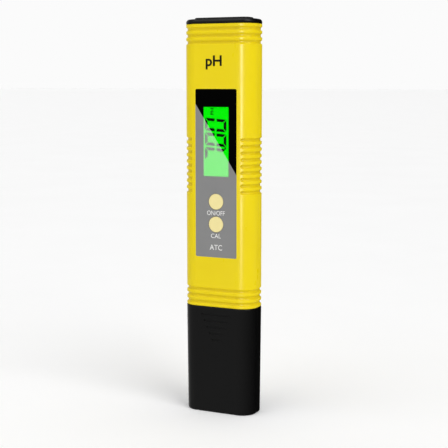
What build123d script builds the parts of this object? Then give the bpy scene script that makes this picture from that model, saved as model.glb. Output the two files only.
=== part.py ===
from build123d import *
from math import cos, radians, sin, sqrt
import os

# Pen-type digital pH meter, standing on its protective cap.
# Millimetres. The origin is the centre of the cap's bottom face, +Z points up the
# body and the display faces -Y. The body is a rounded rectangular sleeve.

# ---- Driving dimensions: outside ------------------------------------------------------
body_width, body_depth, corner_radius = 30.2, 14.8, 6.2
seam_z = 43.0  # protective cap meets the housing
cover_seam_z = 153.3  # housing meets the battery cover
rim_z = 155.15  # top of the battery cover's flange
total_height = 155.8
seam_gap = 0.12  # reveal between separate mouldings

# ---- Driving dimensions: housing ------------------------------------------------------
wall = 1.8
edge_softening = 0.3
groove_pitch = 2.53
groove_radius, groove_depth, groove_lip = 0.79, 0.6, 0.18
top_groove_z = 146.25  # lowest of the upper three ring grooves
bottom_groove_z = 44.75  # lowest of the lower three ring grooves
rings_per_end = 3
grip_groove_z = 88.7  # lowest groove of the side grip
grips_per_side = 9
grip_end = 20.0  # where a grip groove ends on the corner, in degrees round from the front face
rail_depth, rail_height = 1.2, 1.0

# ---- Driving dimensions: label, display and buttons -----------------------------------
label_width, label_bottom, label_top = 17.6, 62.88, 128.45
label_corner, film = 0.6, 0.35
window_width, window_bottom, window_top = 10.8, 94.73, 121.5
lcd_width, lcd_bottom, lcd_top = 14.4, 91.6, 122.9
button_radius, button_travel = 3.08, 0.3
film_hole_radius, housing_hole_radius = 3.2, 3.35
button_heights = {"on_off": 84.8, "cal": 75.9}
button_proud = 0.1  # how far a button's dome stands out of the film

# ---- Driving dimensions: board and battery --------------------------------------------
board_width, board_bottom, board_top = 24.8, 56.0, 130.0
board_front, board_back = -1.6, -0.4  # y of the board's two faces
cell_radius, cell_thickness = 5.8, 5.4
cell_x, cell_z = 6.1, 142.5
cell_front = -3.5
tray_width, tray_depth, tray_corner = 25.2, 7.2, 2.5
tray_bottom, tray_top = 134.6, 150.2

# ---- Driving dimensions: probe and protective cap -------------------------------------
cap_mouth_width, cap_mouth_depth = 30.2, 15.0
cap_foot_shrink = 0.8  # the cap is this much narrower at its foot, in width and depth
cap_mouth_wall, cap_floor, cap_foot_rounding = 1.65, 1.8, 0.8
cap_grip_top, cap_grip_steps, cap_grip_half = 39.95, 5, 6.4
neck_width, neck_depth, neck_corner = 26.2, 11.0, 4.3
neck_bottom, collar_top = 34.0, 53.0
stem_radius, stem_bore, stem_bottom, guard_bottom = 5.2, 3.8, 13.0, 6.4
spigot_radius, spigot_top = 4.7, 50.0
glass_radius, glass_wall, bulb_radius, bulb_z = 2.0, 0.4, 2.3, 10.6
side_sensor_x = 3.05  # thermistor at -x, reference electrode at +x
leads = {"glass": (0.0, 1.5), "reference": (2.4, 5.0), "thermistor": (-2.4, -5.0)}  # start x, pad x
lead_radius, lead_bend, lead_y, pad_z = 0.4, 1.2, 1.5, 58.5

# ---- Derived --------------------------------------------------------------------------
front = -body_depth / 2
recess = front + film
inner_width, inner_depth = body_width - 2 * wall, body_depth - 2 * wall
inner_corner = corner_radius - wall
inner_front = front + wall
label_height = label_top - label_bottom
label_z = (label_top + label_bottom) / 2
window_height = window_top - window_bottom
window_z = (window_top + window_bottom) / 2
lcd_height, lcd_z = lcd_top - lcd_bottom, (lcd_top + lcd_bottom) / 2
board_height = board_top - board_bottom
board_z = (board_top + board_bottom) / 2
cap_top = seam_z - seam_gap
groove_half = sqrt(groove_radius**2 - (groove_radius - groove_depth) ** 2)


# ---- Helpers --------------------------------------------------------------------------
def outline(width, depth, radius, z):
    """A rounded rectangle in a level plane."""
    with BuildSketch(Plane.XY.offset(z)) as shape:
        RectangleRounded(width, depth, radius)
    return shape.sketch


def upright(y):
    """The plane parallel to the front face at this y: local x is X, local y is Z."""
    return Plane.XZ.offset(-y)


def front_panel(width, height, centre_z, y, radius=0.0, centre_x=0.0):
    """A rectangle parallel to the front face. Extruding it moves towards -Y."""
    with BuildSketch(upright(y)) as shape:
        with Locations((centre_x, centre_z)):
            if radius:
                RectangleRounded(width, height, radius)
            else:
                Rectangle(width, height)
    return shape.sketch


def front_disc(radius, centre_x, centre_z, y):
    """A disc parallel to the front face. Extruding it moves towards -Y."""
    with BuildSketch(upright(y)) as shape:
        with Locations((centre_x, centre_z)):
            Circle(radius)
    return shape.sketch


def level_disc(radius, z, centre_x=0.0, centre_y=0.0):
    """A disc in a level plane. Extruding it moves upwards."""
    with BuildSketch(Plane.XY.offset(z)) as shape:
        with Locations((centre_x, centre_y)):
            Circle(radius)
    return shape.sketch


def level_ring(outer, inner, z):
    """A flat ring in a level plane."""
    with BuildSketch(Plane.XY.offset(z)) as shape:
        Circle(outer)
        Circle(inner, mode=Mode.SUBTRACT)
    return shape.sketch


def seal_outline(outer_width, outer_depth, radius, section, z):
    """The flat section of a seal ring that follows a rounded rectangle."""
    with BuildSketch(Plane.XY.offset(z)) as shape:
        RectangleRounded(outer_width, outer_depth, radius)
        RectangleRounded(
            outer_width - 2 * section, outer_depth - 2 * section, radius - section, mode=Mode.SUBTRACT
        )
    return shape.sketch


def ring_groove(z):
    """The cutter of a round-bottomed groove all round the body at height z."""
    reach = groove_radius - groove_depth
    with BuildLine(Plane.XY.offset(z)) as path:
        with BuildSketch(Plane.XY.offset(z), mode=Mode.PRIVATE) as track:
            RectangleRounded(body_width + 2 * reach, body_depth + 2 * reach, corner_radius + reach)
        add(track.sketch.edges())
    with BuildSketch(Plane.YZ) as section:
        with Locations((front - reach, z)):
            Circle(groove_radius)
    with BuildPart() as cutter:
        sweep(section.sketch, path=path.wires()[0])
    return cutter.part


def tapered_ends(width, depth, radius, bottom_z):
    """The two ends of the cap's taper: this size at the cap's top, narrower at bottom_z."""
    shrink = cap_foot_shrink
    foot = outline(width - shrink, depth - shrink, radius - shrink / 2, bottom_z)
    return [foot, outline(width, depth, radius, cap_top)]


def finish(builder, label):
    """Labels a finished sub-part and writes its file."""
    builder.part.label = label
    export_step(builder.part, f"parts/{label}.step")


os.makedirs("parts", exist_ok=True)

# ---- Housing: one-piece sleeve ----------------------------------------------------------
housing_height = cover_seam_z - seam_z
lcd_opening_width, lcd_opening_height = lcd_width + 0.8, lcd_height + 0.15
rail_x = inner_width / 2 - rail_depth / 2
grip_reach = corner_radius + groove_radius - groove_depth
grip_end_x = body_width / 2 - corner_radius + grip_reach * sin(radians(grip_end))
grip_end_y = body_depth / 2 - corner_radius + grip_reach * cos(radians(grip_end))
with BuildPart() as grip_blocks:
    for side in (-1, 1):
        with Locations((side * (grip_end_x + body_width / 2), 0, board_z)):
            Box(body_width, 2 * body_depth, board_height)
grip_limits = grip_blocks.part

with BuildPart() as housing:
    extrude(outline(body_width, body_depth, corner_radius, seam_z), amount=housing_height)
    end_edges = housing.edges().group_by(Axis.Z)
    fillet(end_edges[0] + end_edges[-1], edge_softening)
    for first_z in (bottom_groove_z, top_groove_z):
        for ring in range(rings_per_end):
            groove_z = first_z + ring * groove_pitch
            add(ring_groove(groove_z), mode=Mode.SUBTRACT)
            for lip_z in (groove_z - groove_half, groove_z + groove_half):
                lip_edges = housing.edges().filter_by_position(Axis.Z, lip_z - 0.01, lip_z + 0.01)
                fillet(lip_edges, groove_lip)
    for grip in range(grips_per_side):
        grip_z = grip_groove_z + grip * groove_pitch
        add(ring_groove(grip_z) & grip_limits, mode=Mode.SUBTRACT)
        grip_ends = [(x, y, grip_z) for x in (-grip_end_x, grip_end_x) for y in (-grip_end_y, grip_end_y)]
        with Locations(grip_ends):
            Sphere(groove_radius, mode=Mode.SUBTRACT)
    bore = outline(inner_width, inner_depth, inner_corner, seam_z)
    extrude(bore, amount=housing_height, mode=Mode.SUBTRACT)
    label_bed = front_panel(label_width, label_height, label_z, recess, label_corner)
    extrude(label_bed, amount=body_depth, mode=Mode.SUBTRACT)
    lcd_opening = front_panel(lcd_opening_width, lcd_opening_height, lcd_z, 0)
    extrude(lcd_opening, amount=body_depth, mode=Mode.SUBTRACT)
    for button_z in button_heights.values():
        extrude(front_disc(housing_hole_radius, 0, button_z, 0), amount=body_depth, mode=Mode.SUBTRACT)
    for side in (-1, 1):
        for rail_y in (board_front - 0.1 - rail_height / 2, board_back + 0.1 + rail_height / 2):
            with Locations((side * rail_x, rail_y, board_z)):
                Box(rail_depth, rail_height, board_height)
finish(housing, "housing")


# ---- Label film, display window and display -----------------------------------------------
with BuildPart() as label_overlay:
    extrude(front_panel(label_width, label_height, label_z, recess, label_corner), amount=film)
    extrude(
        front_panel(window_width, window_height, window_z, recess), amount=film, mode=Mode.SUBTRACT
    )
    for button_z in button_heights.values():
        extrude(front_disc(film_hole_radius, 0, button_z, recess), amount=film, mode=Mode.SUBTRACT)
finish(label_overlay, "label_overlay")

lens_flange, lens_overlap = 0.45, 2.0
lens_back = recess + lens_flange
with BuildPart() as display_window:
    extrude(
        front_panel(window_width + 2 * lens_overlap, window_height + lens_overlap, window_z, lens_back),
        amount=lens_flange,
    )
    extrude(front_panel(window_width - 0.1, window_height - 0.1, window_z, recess), amount=film)
finish(display_window, "display_window")

polariser, glass_plate = 0.08, 0.7
contact_ledge = 2.8  # lowest part of the rear glass, which carries the contacts
lcd_front = lens_back + 0.1 + polariser
lcd_back = lcd_front + 2 * glass_plate
with BuildPart() as lcd_panel:
    extrude(front_panel(lcd_width, lcd_height, lcd_z, lcd_back), amount=glass_plate)
    front_glass_height, front_glass_z = lcd_height - contact_ledge / 2, lcd_z + contact_ledge / 4
    extrude(
        front_panel(lcd_width, front_glass_height, front_glass_z, lcd_back - glass_plate),
        amount=glass_plate,
    )
finish(lcd_panel, "lcd_panel")

polariser_margin = 0.2  # bare glass above the polarisers
polariser_width, polariser_height = lcd_width - 0.6, lcd_height - contact_ledge
polariser_z = lcd_z + contact_ledge / 2 - polariser_margin
with BuildPart() as lcd_polarisers:
    for polariser_back in (lcd_front, lcd_back + polariser):
        extrude(
            front_panel(polariser_width, polariser_height, polariser_z, polariser_back), amount=polariser
        )
finish(lcd_polarisers, "lcd_polarisers")

backlight_thickness = 1.5
backlight_front = lcd_back + polariser + 0.05
backlight_back = backlight_front + backlight_thickness
backlight_bottom = lcd_bottom + contact_ledge + 0.3
with BuildPart() as lcd_backlight:
    extrude(
        front_panel(
            lcd_width, lcd_top - backlight_bottom, (lcd_top + backlight_bottom) / 2, backlight_back
        ),
        amount=backlight_thickness,
    )
finish(lcd_backlight, "lcd_backlight")

led_width, led_height, led_spacing = 3.0, 0.8, 7.0
led_z = lcd_top + 0.2 + led_height / 2
with BuildPart() as backlight_leds:
    for led_x in (-led_spacing / 2, led_spacing / 2):
        extrude(
            front_panel(led_width, led_height, led_z, backlight_back, centre_x=led_x),
            amount=backlight_thickness - 0.1,
        )
finish(backlight_leds, "backlight_leds")

frame_wall, frame_gap, frame_corner = 1.1, 0.1, 0.8
frame_front = inner_front + 0.1
pocket_width = lcd_width + 2 * frame_gap
pocket_bottom, pocket_top = lcd_bottom - frame_gap, led_z + led_height / 2 + frame_gap
pocket_height, pocket_z = pocket_top - pocket_bottom, (pocket_top + pocket_bottom) / 2
strip_width, strip_height = 12.8, 2.0
strip_z = lcd_bottom + 0.4 + strip_height / 2
with BuildPart() as lcd_frame:
    frame_width, frame_height = pocket_width + 2 * frame_wall, pocket_height + 2 * frame_wall
    extrude(
        front_panel(frame_width, frame_height, pocket_z, board_front, frame_corner),
        amount=board_front - frame_front,
    )
    extrude(
        front_panel(pocket_width, pocket_height, pocket_z, backlight_back),
        amount=body_depth,
        mode=Mode.SUBTRACT,
    )
    extrude(
        front_panel(strip_width + 0.2, strip_height + 0.2, strip_z, board_front),
        amount=body_depth,
        mode=Mode.SUBTRACT,
    )
finish(lcd_frame, "lcd_frame")

with BuildPart() as lcd_connector_strip:
    extrude(front_panel(strip_width, strip_height, strip_z, board_front), amount=board_front - lcd_back)
finish(lcd_connector_strip, "lcd_connector_strip")

# ---- Circuit board and what it carries ------------------------------------------------------
board_thickness = board_back - board_front
with BuildPart() as main_board:
    extrude(front_panel(board_width, board_height, board_z, board_back, 1.0), amount=board_thickness)
    for _, pad_x in leads.values():
        lead_hole = front_disc(lead_radius + 0.05, pad_x, pad_z, board_back)
        extrude(lead_hole, amount=board_thickness, mode=Mode.SUBTRACT)
finish(main_board, "main_board")

switch_size, switch_height = 6.0, 2.2
plunger_radius, plunger_gap, plunger_sink = 1.6, 0.2, 1.4
switch_front = board_front - switch_height
with BuildPart() as switch_bodies:
    for button_z in button_heights.values():
        extrude(front_panel(switch_size, switch_size, button_z, board_front, 0.4), amount=switch_height)
        extrude(
            front_disc(plunger_radius + plunger_gap, 0, button_z, switch_front + plunger_sink),
            amount=plunger_sink,
            mode=Mode.SUBTRACT,
        )
finish(switch_bodies, "switch_bodies")

flange_radius, flange_thickness = 3.9, 0.6
button_flange_front = inner_front + 0.1
button_flange_back = button_flange_front + flange_thickness
plunger_front = button_flange_back + 0.3
plunger_back = switch_front + plunger_sink - button_travel - plunger_gap
button_front = front - button_proud
for name, button_z in button_heights.items():
    with BuildPart() as button:
        extrude(front_disc(flange_radius, 0, button_z, button_flange_back), amount=flange_thickness)
        extrude(
            front_disc(button_radius, 0, button_z, button_flange_front),
            amount=button_flange_front - button_front,
        )
        fillet(button.edges().group_by(Axis.Y)[0], 0.25)
        extrude(
            front_disc(plunger_radius, 0, button_z, plunger_front - 0.05),
            amount=plunger_front - 0.05 - button_flange_back,
        )
    finish(button, f"{name}_button")

    with BuildPart() as plunger:
        extrude(front_disc(plunger_radius, 0, button_z, plunger_back), amount=plunger_back - plunger_front)
        chamfer(plunger.edges().group_by(Axis.Y)[0], 0.15)
    finish(plunger, f"{name}_plunger")

chip_size, chip_height, chip_z = 10.0, 1.2, 102.0
chip_pins, pin_pitch, pin_width, pin_reach, pin_thickness = 8, 1.0, 0.4, 1.0, 0.2
pin_y = board_back + pin_thickness / 2
with BuildPart() as controller_chip:
    extrude(front_panel(chip_size, chip_size, chip_z, board_back + chip_height), amount=chip_height)
    chamfer(controller_chip.faces().sort_by(Axis.Y)[-1].edges(), 0.2)
    for pin in range(chip_pins):
        along = (pin - (chip_pins - 1) / 2) * pin_pitch
        out = (chip_size + pin_reach) / 2
        with Locations((-out, pin_y, chip_z + along), (out, pin_y, chip_z + along)):
            Box(pin_reach, pin_thickness, pin_width)
        with Locations((along, pin_y, chip_z - out), (along, pin_y, chip_z + out)):
            Box(pin_width, pin_thickness, pin_reach)
finish(controller_chip, "controller_chip")

amplifier_width, amplifier_height, amplifier_x, amplifier_z = 4.0, 5.0, -7.0, 68.0
amplifier_pins, amplifier_pitch = 4, 1.27
with BuildPart() as amplifier_chip:
    extrude(
        front_panel(amplifier_width, amplifier_height, amplifier_z, board_back + chip_height, 0, amplifier_x),
        amount=chip_height,
    )
    chamfer(amplifier_chip.faces().sort_by(Axis.Y)[-1].edges(), 0.2)
    for pin in range(amplifier_pins):
        pin_z = amplifier_z + (pin - (amplifier_pins - 1) / 2) * amplifier_pitch
        out = (amplifier_width + pin_reach) / 2
        with Locations((amplifier_x - out, pin_y, pin_z), (amplifier_x + out, pin_y, pin_z)):
            Box(pin_reach, pin_thickness, pin_width)
finish(amplifier_chip, "amplifier_chip")

crystal_width, crystal_length, crystal_x, crystal_z = 3.2, 8.0, 7.5, 112.0
with BuildPart() as crystal:
    crystal_top, crystal_corner = board_back + crystal_width, crystal_width / 2.2
    extrude(
        front_panel(crystal_width, crystal_length, crystal_z, crystal_top, crystal_corner, crystal_x),
        amount=crystal_width,
    )
finish(crystal, "crystal")

chip_part_length, chip_part_width, capacitor_height, resistor_height = 2.0, 1.2, 1.0, 0.5
capacitor_spots = [(8.5, 104.0), (8.5, 100.0), (-8.5, 104.0), (-8.5, 100.0), (-1.5, 68.0), (-1.5, 72.0)]
resistor_spots = [(x, z) for x in (3.0, 6.0, 9.0) for z in (68.0, 72.0, 76.0)]
with BuildPart() as capacitors:
    for spot_x, spot_z in capacitor_spots:
        extrude(
            front_panel(chip_part_width, chip_part_length, spot_z, board_back + capacitor_height, 0, spot_x),
            amount=capacitor_height,
        )
finish(capacitors, "capacitors")
with BuildPart() as resistors:
    for spot_x, spot_z in resistor_spots:
        extrude(
            front_panel(chip_part_width, chip_part_length, spot_z, board_back + resistor_height, 0, spot_x),
            amount=resistor_height,
        )
finish(resistors, "resistors")

# ---- Battery: cells in a tray that hangs from the cover ------------------------------------
contact_x, contact_width, contact_sheet = 6.1, 4.0, 0.25
contact_foot_y = board_front - contact_sheet / 2
contact_profile = [
    (contact_foot_y, 126.4),
    (contact_foot_y, 129.2),
    (-4.7, 132.4),
    (-4.7, 137.5),
    (cell_front - 0.3, 142.5),
    (-4.5, 146.5),
]
for name, side in (("left", -1), ("right", 1)):
    with BuildPart() as contact:
        with BuildSketch(Plane.YZ.offset(side * contact_x)):
            with BuildLine() as leaf:
                FilletPolyline(*contact_profile, radius=0.8)
            trace(line_width=contact_sheet)
        extrude(amount=contact_width / 2, both=True)
    finish(contact, f"battery_contact_{name}")

plug_width, plug_depth, plug_corner, plug_bottom = 26.1, 10.7, 4.15, tray_top
gland_z, gland_height, gland_cut, seal_fit = 151.1, 1.4, 0.8, 0.12
plateau_inset, plateau_corner, flange_rounding, plateau_rounding = 3.4, 2.8, 1.3, 0.45
with BuildPart() as battery_cover:
    cover_bottom = cover_seam_z + seam_gap
    extrude(outline(body_width, body_depth, corner_radius, cover_bottom), amount=rim_z - cover_bottom)
    fillet(battery_cover.edges().group_by(Axis.Z)[-1], flange_rounding)
    extrude(
        outline(body_width - 2 * plateau_inset, body_depth - 2 * plateau_inset, plateau_corner, rim_z),
        amount=total_height - rim_z,
    )
    fillet(battery_cover.edges().group_by(Axis.Z)[-1], plateau_rounding)
    extrude(outline(plug_width, plug_depth, plug_corner, plug_bottom), amount=cover_bottom - plug_bottom)
    extrude(
        seal_outline(plug_width + 1, plug_depth + 1, plug_corner + 0.5, gland_cut + 0.5, gland_z),
        amount=gland_height,
        mode=Mode.SUBTRACT,
    )
finish(battery_cover, "battery_cover")

with BuildPart() as cover_gasket:
    gasket_width, gasket_depth = inner_width - 2 * seal_fit, inner_depth - 2 * seal_fit
    gasket_section = gland_cut + (gasket_width - plug_width) / 2
    extrude(
        seal_outline(gasket_width, gasket_depth, inner_corner - seal_fit, gasket_section, gland_z),
        amount=gland_height,
    )
    gasket_edges = cover_gasket.edges().group_by(Axis.Z)
    fillet(gasket_edges[0] + gasket_edges[-1], 0.25)
finish(cover_gasket, "cover_gasket")

pocket_radius, link_sheet, link_height = cell_radius + 0.15, 0.3, 4.0
cell_back = cell_front + cell_thickness
pocket_floor = cell_back + link_sheet
with BuildPart() as battery_tray:
    extrude(outline(tray_width, tray_depth, tray_corner, tray_bottom), amount=tray_top - tray_bottom)
    for side in (-1, 1):
        extrude(
            front_disc(pocket_radius, side * cell_x, cell_z, cell_back), amount=body_depth, mode=Mode.SUBTRACT
        )
    extrude(
        front_panel(2 * (cell_x + link_height), link_height, cell_z, pocket_floor, 0.5),
        amount=body_depth,
        mode=Mode.SUBTRACT,
    )
finish(battery_tray, "battery_tray")

with BuildPart() as cell_link_strip:
    extrude(
        front_panel(2 * (cell_x + link_height) - 0.2, link_height - 0.2, cell_z, pocket_floor, 0.4),
        amount=link_sheet,
    )
finish(cell_link_strip, "cell_link_strip")

cell_can, cell_cap_radius = 4.9, 4.8
for name, side in (("left", -1), ("right", 1)):
    with BuildPart() as cell:
        can_back = cell_back if side < 0 else cell_front + cell_can
        cap_back = cell_front + 1.0 if side < 0 else cell_back
        extrude(front_disc(cell_radius, side * cell_x, cell_z, can_back), amount=cell_can)
        fillet(cell.edges(), 0.3)
        extrude(front_disc(cell_cap_radius, side * cell_x, cell_z, cap_back), amount=1.0)
    finish(cell, f"battery_cell_{name}")

# ---- Probe: collar, electrode stem and sensors ---------------------------------------------
spigot_fit, collar_seal_z, neck_seal_z, seal_height, seal_cut = 0.05, 47.5, 37.6, 1.6, 0.7
collar_width, collar_depth, collar_corner = inner_width - 0.1, inner_depth - 0.1, inner_corner - 0.05
with BuildPart() as probe_collar:
    extrude(outline(neck_width, neck_depth, neck_corner, neck_bottom), amount=seam_z - neck_bottom)
    chamfer(probe_collar.edges().group_by(Axis.Z)[0], 0.5)
    extrude(outline(collar_width, collar_depth, collar_corner, seam_z), amount=collar_top - seam_z)
    spigot_bore = level_disc(spigot_radius + spigot_fit, neck_bottom)
    extrude(spigot_bore, amount=collar_top - neck_bottom, mode=Mode.SUBTRACT)
    for groove_bottom, width, depth, corner in (
        (collar_seal_z, collar_width, collar_depth, collar_corner),
        (neck_seal_z, neck_width, neck_depth, neck_corner),
    ):
        extrude(
            seal_outline(width + 1, depth + 1, corner + 0.5, seal_cut / 2 + 0.5, groove_bottom),
            amount=seal_height,
            mode=Mode.SUBTRACT,
        )
finish(probe_collar, "probe_collar")

with BuildPart() as collar_seal:
    extrude(
        seal_outline(collar_width, collar_depth, collar_corner, seal_cut / 2, collar_seal_z),
        amount=seal_height,
    )
finish(collar_seal, "collar_seal")

neck_seal_proud = 0.12
with BuildPart() as cap_seal_ring:
    extrude(
        seal_outline(
            neck_width + 2 * neck_seal_proud,
            neck_depth + 2 * neck_seal_proud,
            neck_corner + neck_seal_proud,
            seal_cut / 2 + neck_seal_proud,
            neck_seal_z,
        ),
        amount=seal_height,
    )
finish(cap_seal_ring, "cap_seal_ring")

guard_window_width, guard_window_rounding = 6.6, 2.0
with BuildPart() as probe_stem:
    extrude(level_ring(stem_radius, stem_bore, guard_bottom), amount=neck_bottom - guard_bottom)
    fillet(probe_stem.edges().group_by(Axis.Z)[0], 0.35)
    extrude(level_ring(spigot_radius, stem_bore, neck_bottom), amount=spigot_top - neck_bottom)
    with BuildSketch(Plane.YZ):
        with Locations((0, (stem_bottom + guard_bottom) / 2 - guard_window_rounding)):
            RectangleRounded(
                guard_window_width,
                stem_bottom - guard_bottom + 2 * guard_window_rounding,
                guard_window_rounding,
            )
    extrude(amount=2 * stem_radius, both=True, mode=Mode.SUBTRACT)
finish(probe_stem, "probe_stem")

seat_height, sensor_fit, thermistor_radius, junction_radius = 3.0, 0.05, 0.6, 0.6
with BuildPart() as electrode_seat:
    extrude(level_ring(stem_bore - sensor_fit, glass_radius + sensor_fit, stem_bottom), amount=seat_height)
    for sensor_radius, sensor_x in ((thermistor_radius, -side_sensor_x), (junction_radius, side_sensor_x)):
        sensor_hole = level_disc(sensor_radius + sensor_fit, stem_bottom, sensor_x)
        extrude(sensor_hole, amount=seat_height, mode=Mode.SUBTRACT)
finish(electrode_seat, "electrode_seat")

potting_bottom, glass_top = 47.0, 46.0
with BuildPart() as lead_potting:
    extrude(level_disc(stem_bore - sensor_fit, potting_bottom), amount=spigot_top - potting_bottom)
finish(lead_potting, "lead_potting")

with BuildPart() as glass_electrode:
    extrude(level_disc(glass_radius, bulb_z), amount=glass_top - bulb_z)
    with Locations((0, 0, bulb_z)):
        Sphere(bulb_radius)
    extrude(level_disc(glass_radius - glass_wall, bulb_z), amount=glass_top - bulb_z, mode=Mode.SUBTRACT)
    with Locations((0, 0, bulb_z)):
        Sphere(bulb_radius - glass_wall, mode=Mode.SUBTRACT)
finish(glass_electrode, "glass_electrode")

wire_radius = 0.3
with BuildPart() as inner_electrode:
    extrude(level_disc(wire_radius, bulb_z), amount=potting_bottom - bulb_z)
    fillet(inner_electrode.edges().group_by(Axis.Z)[0], 0.2)
finish(inner_electrode, "inner_electrode")

reference_bottom = stem_bottom + seat_height + 0.6
with BuildPart() as reference_electrode:
    extrude(
        level_disc(wire_radius, reference_bottom, side_sensor_x),
        amount=potting_bottom - reference_bottom,
    )
finish(reference_electrode, "reference_electrode")

with BuildPart() as reference_junction:
    extrude(level_disc(junction_radius, stem_bottom - 0.2, side_sensor_x), amount=seat_height + 0.4)
finish(reference_junction, "reference_junction")

thermistor_bottom, thermistor_top = 8.6, 22.0
with BuildPart() as temperature_probe:
    extrude(
        level_disc(thermistor_radius, thermistor_bottom, -side_sensor_x),
        amount=thermistor_top - thermistor_bottom,
    )
    fillet(temperature_probe.edges().group_by(Axis.Z)[0], 0.45)
    extrude(level_disc(wire_radius, thermistor_top, -side_sensor_x), amount=potting_bottom - thermistor_top)
finish(temperature_probe, "temperature_probe")

# ---- Leads from the probe to the board -----------------------------------------------------
for name, (start_x, pad_x) in leads.items():
    route_points = [
        (start_x, lead_y, spigot_top),
        (start_x, lead_y, spigot_top + 2.4),
        (pad_x, lead_y, board_bottom),
        (pad_x, lead_y, pad_z),
        (pad_x, board_front + 0.2, pad_z),
    ]
    with BuildPart() as lead:
        with BuildLine():
            FilletPolyline(*route_points, radius=lead_bend)
        with BuildSketch(Plane.XY.offset(spigot_top)):
            with Locations((start_x, lead_y)):
                Circle(lead_radius)
        sweep()
    finish(lead, f"{name}_lead")

# ---- Protective cap -------------------------------------------------------------------------
cap_corner = corner_radius + (cap_mouth_width - body_width) / 2
cavity_width, cavity_depth = cap_mouth_width - 2 * cap_mouth_wall, cap_mouth_depth - 2 * cap_mouth_wall
cavity_corner = cap_corner - cap_mouth_wall
cap_grip_slot, cap_grip_depth, cap_grip_shorter = 0.9, 0.3, 1.1
with BuildPart() as protective_cap:
    loft(tapered_ends(cap_mouth_width, cap_mouth_depth, cap_corner, 0))
    fillet(protective_cap.edges().group_by(Axis.Z)[0], cap_foot_rounding)
    fillet(protective_cap.edges().group_by(Axis.Z)[-1], edge_softening)
    loft(tapered_ends(cavity_width, cavity_depth, cavity_corner, cap_floor), mode=Mode.SUBTRACT)
    for step in range(cap_grip_steps):
        grip_z = cap_grip_top - step * groove_pitch
        face_y = -(cap_mouth_depth - cap_foot_shrink * (cap_top - grip_z) / cap_top) / 2
        with BuildSketch(upright(face_y + cap_grip_depth)):
            with Locations((0, grip_z)):
                SlotOverall(2 * (cap_grip_half - step * cap_grip_shorter), cap_grip_slot)
        extrude(amount=1, mode=Mode.SUBTRACT)
finish(protective_cap, "protective_cap")

sponge_inset, sponge_height = 0.25, 4.0
with BuildPart() as storage_sponge:
    extrude(
        outline(
            cavity_width - cap_foot_shrink - 2 * sponge_inset,
            cavity_depth - cap_foot_shrink - 2 * sponge_inset,
            cavity_corner - cap_foot_shrink / 2 - sponge_inset,
            cap_floor,
        ),
        amount=sponge_height,
    )
    fillet(storage_sponge.edges().group_by(Axis.Z)[-1], 0.6)
finish(storage_sponge, "storage_sponge")
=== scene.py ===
import random
from math import cos, pi, radians, sin, tan

import bmesh
import bpy
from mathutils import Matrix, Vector


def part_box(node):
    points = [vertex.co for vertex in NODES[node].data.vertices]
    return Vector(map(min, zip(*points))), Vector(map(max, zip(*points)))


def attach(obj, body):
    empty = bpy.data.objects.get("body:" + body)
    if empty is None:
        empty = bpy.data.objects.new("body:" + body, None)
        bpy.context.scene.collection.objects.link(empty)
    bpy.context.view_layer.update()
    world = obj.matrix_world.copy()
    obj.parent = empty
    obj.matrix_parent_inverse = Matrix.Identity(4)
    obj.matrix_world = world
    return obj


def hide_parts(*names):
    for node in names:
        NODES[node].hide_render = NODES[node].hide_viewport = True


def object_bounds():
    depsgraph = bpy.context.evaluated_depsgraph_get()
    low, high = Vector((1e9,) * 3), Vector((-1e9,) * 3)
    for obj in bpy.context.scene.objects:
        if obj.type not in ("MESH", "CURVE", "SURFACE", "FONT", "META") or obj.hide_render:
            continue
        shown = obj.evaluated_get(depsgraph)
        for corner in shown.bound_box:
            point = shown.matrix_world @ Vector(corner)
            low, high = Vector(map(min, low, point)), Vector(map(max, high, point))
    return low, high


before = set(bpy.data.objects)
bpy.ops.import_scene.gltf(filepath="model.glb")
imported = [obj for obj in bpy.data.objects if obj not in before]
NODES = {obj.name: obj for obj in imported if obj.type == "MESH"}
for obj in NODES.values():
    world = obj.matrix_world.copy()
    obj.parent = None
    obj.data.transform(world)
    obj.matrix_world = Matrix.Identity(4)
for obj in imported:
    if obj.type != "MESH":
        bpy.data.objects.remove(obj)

cad_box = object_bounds()
MM = 0.001

# ---- Places from the frame --------------------------------------------------------------
LABEL_LOW, LABEL_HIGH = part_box("label_overlay")
WINDOW_LOW, WINDOW_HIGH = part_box("display_window")
LCD_LOW, LCD_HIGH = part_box("lcd_polarisers")
LABEL_FACE = LABEL_LOW[1]
HOUSING_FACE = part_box("housing")[0][1]
LABEL_TALL = LABEL_HIGH[2] - LABEL_LOW[2]
TOTAL_TALL = cad_box[1][2]

# Shares of the label's height, measured down from its top: where the diagonal edge of the painted glare
# (a reflection painted onto the label and display) meets the left and right edges, and where the reading
# and the unit are placed from.
GLARE_EDGE_LEFT, GLARE_EDGE_RIGHT = 0.0871, 0.5050
READING_DATUM = 0.51
GLARE_EDGE_SOFT = 0.08 * MM  # half the width of the edge of the painted glare

# ---- Colours, linear ------------------------------------------------------------------
YELLOW = (0.89, 0.70, 0.001)
YELLOW_DEEP = (0.87, 0.67, 0.001)
BLACK_ABS = (0.0020, 0.0020, 0.0020)
LABEL_BLACK = (0.0002, 0.0002, 0.0002)
# Painted reflection: the grey of the diagonal glare on the label.
LABEL_GLARE_GREY = (0.262, 0.262, 0.262)
LCD_GREEN = (0.0008, 0.89, 0.0012)
CREAM = (0.96, 0.83, 0.385)
PLUNGER_BROWN = (0.20, 0.09, 0.04)
SILVER = (0.8, 0.79, 0.76)
SEGMENT_INK = (0.0012, 0.0015, 0.0012)
BLACK_INK = (0.003, 0.003, 0.003)
WHITE_INK = (0.95, 0.94, 0.92)
FLOOR_PALE, FLOOR_DULL = (0.99, 0.99, 0.99), (0.975, 0.975, 0.975)

HOLLOW_SHADE_REACH = 1.3 * MM  # hollows narrower than this get painted shade
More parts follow.
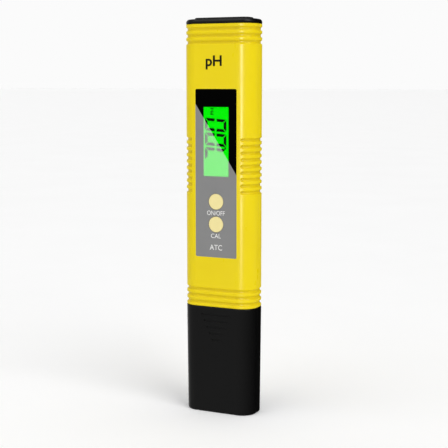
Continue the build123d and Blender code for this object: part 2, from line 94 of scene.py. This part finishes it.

# ---- Light, with angles in degrees ------------------------------------------------------
FILL = 0.45  # white world, as the object's matt surfaces see it
GLOSS_FROM, GLOSS_FILL = -25.0, (0.005, 0.40)  # side where reflections are brightest, and its range
BACKDROP = 0.965  # the backdrop itself, as bright as the far floor
RIM_FROM, RIM_FILL, RIM_SPREAD = 228.0, (0.0, 0.5), 0.75  # a glow behind the left edge
# Each distant lamp as (name, azimuth, elevation, strength, softness).
FAR_LIGHTS = [("key", -35, 50, 0.45, 50), ("side", 62, 42, 1.15, 35), ("top", 0, 85, 0.65, 60)]
# The strip lamp that draws the bright line on the housing's front corner.
STRIP_AZIMUTH, STRIP_ELEVATION, STRIP_DISTANCE = 11, 6, 0.55
STRIP_SIZE, STRIP_POWER = (0.05, 0.5), 4.4

# ---- Camera -------------------------------------------------------------------------------
CAMERA_AZIMUTH, CAMERA_ELEVATION, CAMERA_DISTANCE = 25.24, 7.32, 0.4366
CAMERA_AIM_HEIGHT = 0.07524  # a little under half the meter's height
CAMERA_LENS, CAMERA_SENSOR = 88.47, 36.0


# ---- Node helpers -------------------------------------------------------------------------
def new_material(name):
    """A material with its tree and Principled shader."""
    material = bpy.data.materials.new(name)
    material.use_nodes = True
    return material, material.node_tree, material.node_tree.nodes["Principled BSDF"]


def object_coords(tree):
    return tree.nodes.new("ShaderNodeTexCoord").outputs["Object"]


def noise(tree, per_mm, detail=3.0, stretch=None):
    """Noise in object space with this many features per millimetre."""
    texture = tree.nodes.new("ShaderNodeTexNoise")
    texture.inputs["Scale"].default_value = per_mm / MM
    texture.inputs["Detail"].default_value = detail
    coords = object_coords(tree)
    if stretch:
        mapping = tree.nodes.new("ShaderNodeMapping")
        mapping.inputs["Scale"].default_value = stretch
        tree.links.new(coords, mapping.inputs["Vector"])
        coords = mapping.outputs["Vector"]
    tree.links.new(coords, texture.inputs["Vector"])
    return texture.outputs["Fac"]


def span(tree, value, low, high, from_low=0.3, from_high=0.7):
    """Maps a 0 to 1 pattern to a range of values."""
    node = tree.nodes.new("ShaderNodeMapRange")
    node.inputs["From Min"].default_value = from_low
    node.inputs["From Max"].default_value = from_high
    node.inputs["To Min"].default_value = low
    node.inputs["To Max"].default_value = high
    tree.links.new(value, node.inputs["Value"])
    return node.outputs["Result"]


def maths(tree, operation, first, second):
    node = tree.nodes.new("ShaderNodeMath")
    node.operation = operation
    for socket, value in zip(node.inputs, (first, second)):
        if isinstance(value, (int, float)):
            socket.default_value = value
        else:
            tree.links.new(value, socket)
    return node.outputs[0]


def blend_colours(tree, share, first, second):
    """Mixes two colours, each a tuple or a socket."""
    node = tree.nodes.new("ShaderNodeMix")
    node.data_type = "RGBA"
    tree.links.new(share, node.inputs["Factor"])
    for key, value in (("A", first), ("B", second)):
        socket = [s for s in node.inputs if s.name == key and s.type == "RGBA"][0]
        if isinstance(value, tuple):
            socket.default_value = (*value, 1.0)
        else:
            tree.links.new(value, socket)
    return [s for s in node.outputs if s.type == "RGBA"][0]


def bump(tree, shader, height, depth_mm, strength=0.5):
    node = tree.nodes.new("ShaderNodeBump")
    node.inputs["Strength"].default_value = strength
    node.inputs["Distance"].default_value = depth_mm * MM
    tree.links.new(height, node.inputs["Height"])
    tree.links.new(node.outputs["Normal"], shader.inputs["Normal"])


def edge_mask(tree, radius_mm, noise_per_mm):
    """1 on sharp outer edges, broken up by noise, and 0 elsewhere."""
    bevel = tree.nodes.new("ShaderNodeBevel")
    bevel.samples = 4
    bevel.inputs["Radius"].default_value = radius_mm * MM
    geometry = tree.nodes.new("ShaderNodeNewGeometry")
    dot = tree.nodes.new("ShaderNodeVectorMath")
    dot.operation = "DOT_PRODUCT"
    tree.links.new(bevel.outputs["Normal"], dot.inputs[0])
    tree.links.new(geometry.outputs["Normal"], dot.inputs[1])
    edges = span(tree, dot.outputs["Value"], 1.0, 0.0, 0.90, 0.995)
    patches = span(tree, noise(tree, noise_per_mm), 0.0, 1.0, 0.4, 0.62)
    return maths(tree, "MULTIPLY", edges, patches)


def painted_glare_mask(tree):
    """Mask of the painted glare: 1 below and left of the label's diagonal, where a reflection is painted,
    and 0 above it, with a crisp edge.
    """
    left, right = LABEL_LOW[0], LABEL_HIGH[0]
    high = LABEL_HIGH[2] - GLARE_EDGE_LEFT * LABEL_TALL
    low = LABEL_HIGH[2] - GLARE_EDGE_RIGHT * LABEL_TALL
    slope = (low - high) / (right - left)
    parts = tree.nodes.new("ShaderNodeSeparateXYZ")
    tree.links.new(object_coords(tree), parts.inputs["Vector"])
    line = maths(tree, "MULTIPLY", parts.outputs["X"], slope)
    rise = maths(tree, "SUBTRACT", parts.outputs["Z"], line)
    middle = high - slope * left
    return span(tree, rise, 1.0, 0.0, middle - GLARE_EDGE_SOFT, middle + GLARE_EDGE_SOFT)


def set_look(shader, **values):
    """Sets constants on the shader's own sockets, such as specular_ior_level=0.3."""
    for key, value in values.items():
        socket = shader.inputs[key.replace("_", " ").title().replace("Ior", "IOR")]
        socket.default_value = (*value, 1.0) if isinstance(value, tuple) else value


# ---- Materials ----------------------------------------------------------------------------
def moulded(name, colour, second, rough, grain_per_mm, grain_mm, wear=None, hollow_shade=None, **look):
    """Injection-moulded plastic: two close tones, a fine grain and uneven gloss.

    wear is the colour of worn edges, and the argument after it the colour of painted shade in grooves and
    hollows.
    """
    material, tree, shader = new_material(name)
    tone = blend_colours(tree, span(tree, noise(tree, 0.08), 0.0, 1.0), colour, second)
    # Painted shade: ambient occlusion darkens the colour in grooves and hollows.
    if hollow_shade:
        occlusion_node = tree.nodes.new("ShaderNodeAmbientOcclusion")
        occlusion_node.inputs["Distance"].default_value = HOLLOW_SHADE_REACH
        occlusion_node.samples = 8
        shade_share = span(tree, occlusion_node.outputs["AO"], 1.0, 0.0, 0.45, 0.92)
        tone = blend_colours(tree, shade_share, tone, hollow_shade)
    if wear:
        tone = blend_colours(tree, edge_mask(tree, 0.25, 0.9), tone, wear)
    tree.links.new(tone, shader.inputs["Base Color"])
    smear = noise(tree, 0.35, detail=5.0, stretch=(1.0, 1.0, 0.35))
    tree.links.new(span(tree, smear, rough[0], rough[1]), shader.inputs["Roughness"])
    bump(tree, shader, noise(tree, grain_per_mm, detail=2.0), grain_mm)
    set_look(shader, **look)
    return material


def label_film():
    """Glossy black film with a painted reflection: a grey diagonal glare below and left of the diagonal,
    black above.
    """
    material, tree, shader = new_material("label_film")
    duller = tuple(c * 0.96 for c in LABEL_GLARE_GREY)
    glare_grey = blend_colours(tree, span(tree, noise(tree, 0.12), 0.0, 1.0), LABEL_GLARE_GREY, duller)
    # Below the diagonal the film's colour is painted glare, a reflection painted grey.
    tone = blend_colours(tree, painted_glare_mask(tree), LABEL_BLACK, glare_grey)
    tree.links.new(tone, shader.inputs["Base Color"])
    tree.links.new(span(tree, noise(tree, 0.5), 0.16, 0.24), shader.inputs["Roughness"])
    bump(tree, shader, noise(tree, 3.0), 0.002, 0.3)
    set_look(shader, specular_ior_level=0.03)
    return material


def window_acrylic():
    """Clear acrylic, with a painted reflection: the label's diagonal glare, as a thin white haze that pales
    the display below the diagonal.
    """
    material, tree, shader = new_material("window_acrylic")
    tree.nodes.remove(shader)
    output = tree.nodes["Material Output"]
    clear = tree.nodes.new("ShaderNodeBsdfTransparent")
    painted_glare = tree.nodes.new("ShaderNodeBsdfDiffuse")
    painted_glare.inputs["Color"].default_value = (1.0, 1.0, 1.0, 1.0)
    body = tree.nodes.new("ShaderNodeMixShader")
    geometry = tree.nodes.new("ShaderNodeNewGeometry")
    outside = maths(tree, "SUBTRACT", 1.0, geometry.outputs["Backfacing"])
    glare_amount = maths(tree, "MULTIPLY", outside, span(tree, noise(tree, 0.3), 0.275, 0.285))
    # Below the diagonal the window gets painted glare: a white haze, a reflection painted over the display.
    tree.links.new(maths(tree, "MULTIPLY", painted_glare_mask(tree), glare_amount), body.inputs["Fac"])
    tree.links.new(clear.outputs[0], body.inputs[1])
    tree.links.new(painted_glare.outputs[0], body.inputs[2])
    gloss = tree.nodes.new("ShaderNodeBsdfGlossy")
    tree.links.new(span(tree, noise(tree, 0.6), 0.03, 0.08), gloss.inputs["Roughness"])
    fresnel = tree.nodes.new("ShaderNodeFresnel")
    fresnel.inputs["IOR"].default_value = 1.2
    surface = tree.nodes.new("ShaderNodeMixShader")
    tree.links.new(maths(tree, "MULTIPLY", outside, fresnel.outputs[0]), surface.inputs["Fac"])
    tree.links.new(body.outputs[0], surface.inputs[1])
    tree.links.new(gloss.outputs[0], surface.inputs[2])
    tree.links.new(surface.outputs[0], output.inputs["Surface"])
    return material


def lit_display():
    """The display's film, lit green from behind, a little uneven."""
    material, tree, shader = new_material("lit_display")
    duller = tuple(c * 0.93 for c in LCD_GREEN)
    glow = blend_colours(tree, span(tree, noise(tree, 0.10), 0.0, 1.0), LCD_GREEN, duller)
    tree.links.new(glow, shader.inputs["Emission Color"])
    tree.links.new(span(tree, noise(tree, 1.0), 0.4, 0.55), shader.inputs["Roughness"])
    set_look(shader, emission_strength=1.0, base_color=(0.0, 0.01, 0.0), specular_ior_level=0.0)
    return material


def plain(name, colour, rough=(0.35, 0.5), per_mm=1.5, depth_mm=0.01, metallic=0.0, **look):
    """A finish with a small change of tone, uneven gloss and a fine bump, for the inner pieces."""
    material, tree, shader = new_material(name)
    darker = tuple(c * 0.86 for c in colour)
    tone = blend_colours(tree, span(tree, noise(tree, per_mm * 0.3), 0.0, 1.0), colour, darker)
    tree.links.new(tone, shader.inputs["Base Color"])
    tree.links.new(span(tree, noise(tree, per_mm), rough[0], rough[1]), shader.inputs["Roughness"])
    bump(tree, shader, noise(tree, per_mm * 3), depth_mm, 0.4)
    set_look(shader, metallic=metallic, **look)
    return material


def brushed(name, colour, stretch):
    """Drawn or plated metal with fine lines along one direction."""
    material, tree, shader = new_material(name)
    lines = noise(tree, 4.0, detail=4.0, stretch=stretch)
    tone = blend_colours(tree, span(tree, lines, 0.0, 1.0), colour, tuple(c * 0.8 for c in colour))
    tree.links.new(tone, shader.inputs["Base Color"])
    tree.links.new(span(tree, lines, 0.2, 0.38), shader.inputs["Roughness"])
    bump(tree, shader, lines, 0.004, 0.4)
    set_look(shader, metallic=1.0)
    return material


def electrode_glass():
    """Thin clear glass of the electrode."""
    material, tree, shader = new_material("electrode_glass")
    tree.links.new(span(tree, noise(tree, 0.8), 0.02, 0.06), shader.inputs["Roughness"])
    bump(tree, shader, noise(tree, 0.3), 0.01, 0.2)
    set_look(shader, transmission_weight=1.0, ior=1.47, base_color=(0.93, 0.97, 0.98))
    return material


def circuit_board():
    """Green solder mask with darker tracks under it."""
    material, tree, shader = new_material("circuit_board")
    track = tree.nodes.new("ShaderNodeTexBrick")
    track.inputs["Scale"].default_value = 0.22 / MM
    track.inputs["Mortar Size"].default_value = 0.03
    mapping = tree.nodes.new("ShaderNodeMapping")
    mapping.inputs["Rotation"].default_value = (pi / 2, 0, 0)
    tree.links.new(object_coords(tree), mapping.inputs["Vector"])
    tree.links.new(mapping.outputs["Vector"], track.inputs["Vector"])
    tone = blend_colours(tree, track.outputs["Fac"], (0.010, 0.12, 0.035), (0.02, 0.22, 0.06))
    tree.links.new(tone, shader.inputs["Base Color"])
    tree.links.new(span(tree, noise(tree, 0.8), 0.2, 0.35), shader.inputs["Roughness"])
    bump(tree, shader, track.outputs["Fac"], 0.02, 0.5)
    return material


def paint(node, material):
    """Puts the material in every slot of a CAD node."""
    slots = NODES[node].material_slots
    if not slots:
        NODES[node].data.materials.append(material)
    for slot in slots:
        slot.material = material


# The yellow shell's darker olive tone in its grooves and hollows is painted shade.
yellow_shell = moulded(
    "yellow_shell", YELLOW, YELLOW_DEEP, (0.27, 0.36), 5.0, 0.006,
    wear=(0.93, 0.78, 0.06), hollow_shade=(0.60, 0.42, 0.0), specular_ior_level=0.25,
)
black_shell = moulded(
    "black_shell", BLACK_ABS, (0.0017, 0.0017, 0.0017), (0.28, 0.38), 4.0, 0.010,
    wear=(0.012, 0.012, 0.012), specular_ior_level=0.30,
)
probe_black = moulded(
    "probe_black", (0.014, 0.014, 0.015), (0.01, 0.01, 0.011), (0.3, 0.42), 4.0, 0.008
)
button_cream = moulded(
    "button_cream", CREAM, tuple(c * 0.97 for c in CREAM), (0.42, 0.55), 5.0, 0.006,
    specular_ior_level=0.25,
)
plunger_brown = plain("plunger_brown", PLUNGER_BROWN, (0.4, 0.5))
silver_wire = brushed("silver_wire", SILVER, (0.2, 0.2, 2.0))
seal_rubber = plain("seal_rubber", (0.02, 0.02, 0.02), (0.6, 0.75))
chip_epoxy = plain("chip_epoxy", (0.018, 0.018, 0.02), (0.45, 0.6), per_mm=3.0)
cell_steel = brushed("cell_steel", (0.72, 0.71, 0.69), (1.0, 1.0, 0.15))
spring_steel = brushed("spring_steel", (0.75, 0.72, 0.64), (1.0, 1.0, 0.1))
probe_steel = brushed("probe_steel", (0.66, 0.66, 0.65), (0.1, 0.1, 2.0))
cast_resin = plain("cast_resin", (0.03, 0.03, 0.035), (0.1, 0.2), per_mm=0.8)

FINISHES = {
    "housing": yellow_shell,
    "battery_cover": black_shell,
    "protective_cap": black_shell,
    "battery_tray": probe_black,
    "probe_collar": probe_black,
    "probe_stem": probe_black,
    "on_off_button": button_cream,
    "cal_button": button_cream,
    "label_overlay": label_film(),
    "display_window": window_acrylic(),
    "lcd_polarisers": lit_display(),
    "lcd_panel": plain("lcd_glass", (0.25, 0.32, 0.26), (0.05, 0.1), per_mm=0.5),
    "lcd_backlight": plain("light_guide", (0.45, 0.9, 0.4), (0.15, 0.3)),
    "backlight_leds": plain("led_resin", (0.9, 0.92, 0.75), (0.1, 0.2)),
    "lcd_frame": plain("white_moulding", (0.78, 0.78, 0.75), (0.4, 0.55)),
    "lcd_connector_strip": plain("contact_rubber", (0.8, 0.45, 0.38), (0.5, 0.7), per_mm=4.0),
    "main_board": circuit_board(),
    "switch_bodies": plain("switch_moulding", (0.03, 0.03, 0.03), (0.35, 0.5)),
    "on_off_plunger": plunger_brown,
    "cal_plunger": plunger_brown,
    "controller_chip": chip_epoxy,
    "amplifier_chip": chip_epoxy,
    "crystal": brushed("crystal_can", (0.7, 0.7, 0.68), (1.0, 1.0, 0.2)),
    "capacitors": plain("capacitor_ceramic", (0.46, 0.30, 0.16), (0.4, 0.6)),
    "resistors": plain("resistor_ceramic", (0.03, 0.03, 0.035), (0.3, 0.5)),
    "battery_contact_left": spring_steel,
    "battery_contact_right": spring_steel,
    "cell_link_strip": spring_steel,
    "battery_cell_left": cell_steel,
    "battery_cell_right": cell_steel,
    "cover_gasket": seal_rubber,
    "collar_seal": seal_rubber,
    "cap_seal_ring": seal_rubber,
    "glass_electrode": electrode_glass(),
    "inner_electrode": silver_wire,
    "reference_electrode": silver_wire,
    "reference_junction": plain(
        "porous_ceramic", (0.82, 0.80, 0.74), (0.8, 0.95), per_mm=4.0, depth_mm=0.05
    ),
    "temperature_probe": probe_steel,
    "electrode_seat": cast_resin,
    "lead_potting": cast_resin,
    "glass_lead": plain("screened_sleeve", (0.04, 0.04, 0.04), (0.4, 0.5)),
    "reference_lead": plain("blue_sleeve", (0.02, 0.06, 0.5), (0.4, 0.5)),
    "thermistor_lead": plain("red_sleeve", (0.5, 0.02, 0.02), (0.4, 0.5)),
}
for node, finish in FINISHES.items():
    paint(node, finish)


# ---- New pieces ---------------------------------------------------------------------------
def piece(name, mesh, material, body):
    """Links a mesh as a piece of the object that rides on a body."""
    mesh.name = name
    mesh.materials.clear()
    mesh.materials.append(material)
    made = bpy.data.objects.new(name, mesh)
    bpy.context.scene.collection.objects.link(made)
    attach(made, body)
    return made


def upright_plates(polygons, face_y, thick, place):
    """Closed plates from outlines in reading coordinates. place turns (u, v) into (x, z)."""
    bm = bmesh.new()
    for polygon in polygons:
        spots = [place(u, v) for u, v in polygon]
        back = [bm.verts.new((x, face_y, z)) for x, z in spots]
        out = [bm.verts.new((x, face_y - thick, z)) for x, z in spots]
        bm.faces.new(back)
        bm.faces.new(list(reversed(out)))
        for i in range(len(spots)):
            j = (i + 1) % len(spots)
            bm.faces.new((back[j], back[i], out[i], out[j]))
    bmesh.ops.recalc_face_normals(bm, faces=bm.faces)
    mesh = bpy.data.meshes.new("plates")
    bm.to_mesh(mesh)
    bm.free()
    return mesh


def text_mesh(words, centre, size, face_y, thick, turn=0.0, weight=0.0):
    """Lettering on a front face. centre is (x, z) and size is (wide, tall) before turning."""
    curve = bpy.data.curves.new(words, "FONT")
    curve.body = words
    curve.extrude = 0.5
    curve.offset = weight
    curve.resolution_u = 6
    holder = bpy.data.objects.new(words, curve)
    bpy.context.scene.collection.objects.link(holder)
    bpy.context.view_layer.update()
    depsgraph = bpy.context.evaluated_depsgraph_get()
    mesh = bpy.data.meshes.new_from_object(holder.evaluated_get(depsgraph))
    bpy.data.objects.remove(holder)
    spots = [v.co.copy() for v in mesh.vertices]
    low = Vector([min(s[k] for s in spots) for k in range(3)])
    high = Vector([max(s[k] for s in spots) for k in range(3)])
    scale = [size[0] / (high.x - low.x), size[1] / (high.y - low.y)]
    for vertex in mesh.vertices:
        u = (vertex.co.x - (low.x + high.x) / 2) * scale[0]
        v = (vertex.co.y - (low.y + high.y) / 2) * scale[1]
        out = (vertex.co.z - low.z) / (high.z - low.z) * thick
        x, z = u * cos(turn) - v * sin(turn), u * sin(turn) + v * cos(turn)
        vertex.co = (centre[0] + x, face_y - out, centre[1] + z)
    return mesh


# Segmented digits: every segment is a bar with mitred ends inside the digit's box.
DIGIT_WIDE, DIGIT_TALL, BAR, MITRE, WAIST = 4.9 * MM, 9.15 * MM, 1.12 * MM, 0.24 * MM, 0.40 * MM
DIGIT_STEP, DIGIT_SLANT = 5.68 * MM, tan(radians(4.5))
LIT = {"7": "abc", "0": "abcdef"}


def segment(letter):
    """The outline of one segment, in the digit's own box."""
    wide, tall, bar, mitre = DIGIT_WIDE, DIGIT_TALL, BAR, MITRE
    foot = tall / 2 + WAIST
    upper_left = [
        (0, tall - mitre), (bar, tall - bar - mitre), (bar, foot + bar * 0.2), (bar * 0.5, foot), (0, foot)
    ]
    shapes = {
        "a": [
            (mitre, tall), (wide - mitre, tall), (wide - bar - mitre, tall - bar), (bar + mitre, tall - bar)
        ],
        "f": upper_left,
        "b": [(wide - u, v) for u, v in upper_left],
        "e": [(u, tall - v) for u, v in upper_left],
        "c": [(wide - u, tall - v) for u, v in upper_left],
        "d": [(mitre, 0), (bar + mitre, bar), (wide - bar - mitre, bar), (wide - mitre, 0)],
    }
    return shapes[letter]


LCD_FACE = LCD_LOW[1]
GLASS_MIDDLE = (WINDOW_LOW[0] + WINDOW_HIGH[0]) / 2
OPENING_LOW = LABEL_HIGH[2] - READING_DATUM * LABEL_TALL
READING_FOOT = GLASS_MIDDLE + 4.05 * MM
READING_START = OPENING_LOW + 5.75 * MM
UNIT_CENTRE, UNIT_SIZE = (GLASS_MIDDLE - 2.05 * MM, OPENING_LOW + 24.75 * MM), (2.6 * MM, 1.35 * MM)
INK = 0.02 * MM  # thickness of segments and lettering


def place_reading(u, v):
    """Reading coordinates to the display: text runs up the meter, with its top towards -X."""
    return READING_FOOT - v, READING_START + u + DIGIT_SLANT * (v - DIGIT_TALL / 2)


segments = []
for index, digit in enumerate("700"):
    segments += [[(u + index * DIGIT_STEP, v) for u, v in segment(letter)] for letter in LIT[digit]]
POINT_WIDE, POINT_TALL = 0.62 * MM, 0.744 * MM
point_left = DIGIT_WIDE + (DIGIT_STEP - DIGIT_WIDE - POINT_WIDE) / 2
point_right = point_left + POINT_WIDE
segments.append([(point_left, 0), (point_right, 0), (point_right, POINT_TALL), (point_left, POINT_TALL)])

segment_ink = plain("segment_ink", SEGMENT_INK, (0.5, 0.6), specular_ior_level=0.02)
black_ink = plain("black_ink", BLACK_INK, (0.4, 0.5), specular_ior_level=0.2)
white_ink = plain("white_ink", WHITE_INK, (0.4, 0.5), specular_ior_level=0.2)

digits = upright_plates(segments, LCD_FACE, INK, place_reading)
piece("display_digits", digits, segment_ink, "meter")
unit = text_mesh("PH", UNIT_CENTRE, UNIT_SIZE, LCD_FACE, INK, turn=pi / 2, weight=0.02)
piece("display_unit", unit, segment_ink, "meter")

# Printed legends in millimetres, each (words, centre's height above the label's foot, wide, tall).
LEGENDS = {
    "legend_on_off": ("ON/OFF", 17.48, 7.6, 1.78),
    "legend_cal": ("CAL", 8.49, 4.25, 1.72),
    "legend_atc": ("ATC", 3.94, 5.35, 2.1),
}
for name, (words, height, wide, tall) in LEGENDS.items():
    centre = (0, LABEL_LOW[2] + height * MM)
    mesh = text_mesh(words, centre, (wide * MM, tall * MM), LABEL_FACE, INK)
    piece(name, mesh, white_ink, "meter")
PH_CENTRE, PH_SIZE = (-0.89 * MM, LABEL_HIGH[2] + 10.09 * MM), (6.8 * MM, 5.35 * MM)
ph_mark = text_mesh("pH", PH_CENTRE, PH_SIZE, HOUSING_FACE, 1.5 * INK, weight=0.023)
piece("legend_ph", ph_mark, black_ink, "meter")


def sponge_pad():
    """The wet pad in the cap's floor: an open-cell block with a slightly sunken, uneven top."""
    low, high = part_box("storage_sponge")
    random.seed(7)
    half_wide, half_deep = (high[0] - low[0]) / 2, (high[1] - low[1]) / 2
    middle, tall = (low[1] + high[1]) / 2, high[2] - low[2]
    around, levels, steps_in = 96, 10, 9
    squareness = 5  # power of the outline's superellipse
    pull_in, pull_from = 0.03, 0.8  # the sides draw in by this share, above this share of the height
    dip_depth, dip_noise, side_noise = 0.5 * MM, 0.08 * MM, 0.006
    bm = bmesh.new()
    rings = []
    for level in range(levels + 1):
        share = level / levels
        edge = 1 - pull_in * max(0.0, share - pull_from) / (1 - pull_from)
        ring = []
        for step in range(around):
            angle = 2 * pi * step / around
            c, s = cos(angle), sin(angle)
            reach = (abs(c) ** squareness + abs(s) ** squareness) ** (-1 / squareness)
            reach *= edge * (1 - random.random() * side_noise)
            x, y = half_wide * reach * c, middle + half_deep * reach * s
            ring.append(bm.verts.new((x, y, low[2] + share * tall)))
        rings.append(ring)
    for inner in range(1, steps_in):
        shrink = 1 - inner / steps_in
        ring = []
        for v in rings[levels]:
            dip = (1 - shrink) * dip_depth + random.random() * dip_noise
            x, y = v.co.x * shrink, middle + (v.co.y - middle) * shrink
            ring.append(bm.verts.new((x, y, high[2] - dip)))
        rings.append(ring)
    for lower, upper in zip(rings, rings[1:]):
        for i in range(around):
            j = (i + 1) % around
            bm.faces.new((lower[i], lower[j], upper[j], upper[i]))
    bm.faces.new(list(reversed(rings[0])))
    bm.faces.new(rings[-1])
    bmesh.ops.recalc_face_normals(bm, faces=bm.faces)
    for face in bm.faces:
        face.smooth = True
    mesh = bpy.data.meshes.new("sponge_pad")
    bm.to_mesh(mesh)
    bm.free()
    foam = plain("foam", (0.72, 0.58, 0.24), (0.85, 0.98), per_mm=2.5, depth_mm=0.25)
    pad = piece("sponge_pad", mesh, foam, "cap")
    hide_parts("storage_sponge")


sponge_pad()


# ---- Studio --------------------------------------------------------------------------------
def pale_floor():
    """Even white paper that reaches far past the object, and isn't seen in its gloss."""
    bm = bmesh.new()
    bmesh.ops.create_grid(bm, x_segments=40, y_segments=40, size=20.0)
    mesh = bpy.data.meshes.new("floor")
    bm.to_mesh(mesh)
    bm.free()
    floor = bpy.data.objects.new("floor", mesh)
    bpy.context.scene.collection.objects.link(floor)
    material, tree, shader = new_material("floor_paper")
    tone = blend_colours(tree, span(tree, noise(tree, 0.01), 0.0, 1.0), FLOOR_PALE, FLOOR_DULL)
    tree.links.new(tone, shader.inputs["Base Color"])
    set_look(shader, specular_ior_level=0.1, roughness=0.7)
    mesh.materials.append(material)
    floor.visible_glossy = False


def aim(thing, place, target):
    """Places a lamp or the camera and turns it towards a target."""
    thing.location = place
    thing.rotation_euler = (Vector(target) - Vector(place)).to_track_quat("-Z", "Y").to_euler()


def polar(azimuth, elevation, distance):
    """A place around a centre: azimuth 0 is in front of the display, 90 is at +X."""
    turn, rise = radians(azimuth), radians(elevation)
    return Vector((sin(turn) * cos(rise), -cos(turn) * cos(rise), sin(rise))) * distance


def far_light(name, azimuth, elevation, strength, softness):
    """A large, distant lamp, which lights the floor evenly."""
    data = bpy.data.lights.new(name, "SUN")
    data.energy = strength
    data.angle = radians(softness)
    lamp = bpy.data.objects.new(name, data)
    bpy.context.scene.collection.objects.link(lamp)
    aim(lamp, polar(azimuth, elevation, 1.0), (0, 0, 0))


def strip_light():
    """A tall lamp seen only in the housing's gloss, where it draws the bright corner line."""
    data = bpy.data.lights.new("strip", "AREA")
    data.shape = "RECTANGLE"
    data.size, data.size_y = STRIP_SIZE
    data.energy = STRIP_POWER
    lamp = bpy.data.objects.new("strip", data)
    bpy.context.scene.collection.objects.link(lamp)
    aim(lamp, polar(STRIP_AZIMUTH, STRIP_ELEVATION, STRIP_DISTANCE), (0, 0, TOTAL_TALL / 2))
    lamp.visible_diffuse = False
    lamp.light_linking.receiver_collection = bpy.data.collections.new("glossy_shell")
    lamp.light_linking.receiver_collection.objects.link(NODES["housing"])


def world_glow(tree, azimuth, strengths, spread):
    """Radiance that rises towards one azimuth, where the angle's cosine goes from spread to 1."""
    facing = tree.nodes.new("ShaderNodeVectorMath")
    facing.operation = "DOT_PRODUCT"
    facing.inputs[1].default_value = polar(azimuth, 0, 1.0)
    tree.links.new(tree.nodes.new("ShaderNodeTexCoord").outputs["Generated"], facing.inputs[0])
    return span(tree, facing.outputs["Value"], strengths[0], strengths[1], spread, 1.0)


def white_world():
    """White behind the object, an even fill for its colours, and a graded one for its gloss."""
    world = bpy.data.worlds.new("studio")
    bpy.context.scene.world = world
    world.use_nodes = True
    tree = world.node_tree
    tree.nodes.clear()
    gloss = world_glow(tree, GLOSS_FROM, GLOSS_FILL, -1.0)
    gloss = maths(tree, "ADD", gloss, world_glow(tree, RIM_FROM, RIM_FILL, RIM_SPREAD))
    path = tree.nodes.new("ShaderNodeLightPath")
    strength = tree.nodes.new("ShaderNodeMix")
    strength.inputs["A"].default_value = FILL
    tree.links.new(path.outputs["Is Glossy Ray"], strength.inputs["Factor"])
    tree.links.new(gloss, strength.inputs["B"])
    seen = tree.nodes.new("ShaderNodeMix")
    seen.inputs["B"].default_value = BACKDROP
    tree.links.new(path.outputs["Is Camera Ray"], seen.inputs["Factor"])
    tree.links.new(strength.outputs["Result"], seen.inputs["A"])
    background = tree.nodes.new("ShaderNodeBackground")
    tree.links.new(seen.outputs["Result"], background.inputs["Strength"])
    background.inputs["Color"].default_value = (1.0, 1.0, 1.0, 1.0)
    output = tree.nodes.new("ShaderNodeOutputWorld")
    tree.links.new(background.outputs[0], output.inputs["Surface"])


def studio_camera():
    """Looks at a point on the meter's axis, a little under half its height."""
    target = Vector((0, 0, CAMERA_AIM_HEIGHT))
    place = target + polar(CAMERA_AZIMUTH, CAMERA_ELEVATION, CAMERA_DISTANCE)
    data = bpy.data.cameras.new("camera")
    data.lens = CAMERA_LENS
    data.sensor_width = CAMERA_SENSOR
    data.clip_start = 0.01
    camera = bpy.data.objects.new("camera", data)
    bpy.context.scene.collection.objects.link(camera)
    aim(camera, place, target)
    bpy.context.scene.camera = camera


studio_camera()
white_world()
pale_floor()
for far_lamp in FAR_LIGHTS:
    far_light(*far_lamp)
strip_light()
bpy.context.scene.view_settings.view_transform = "Standard"
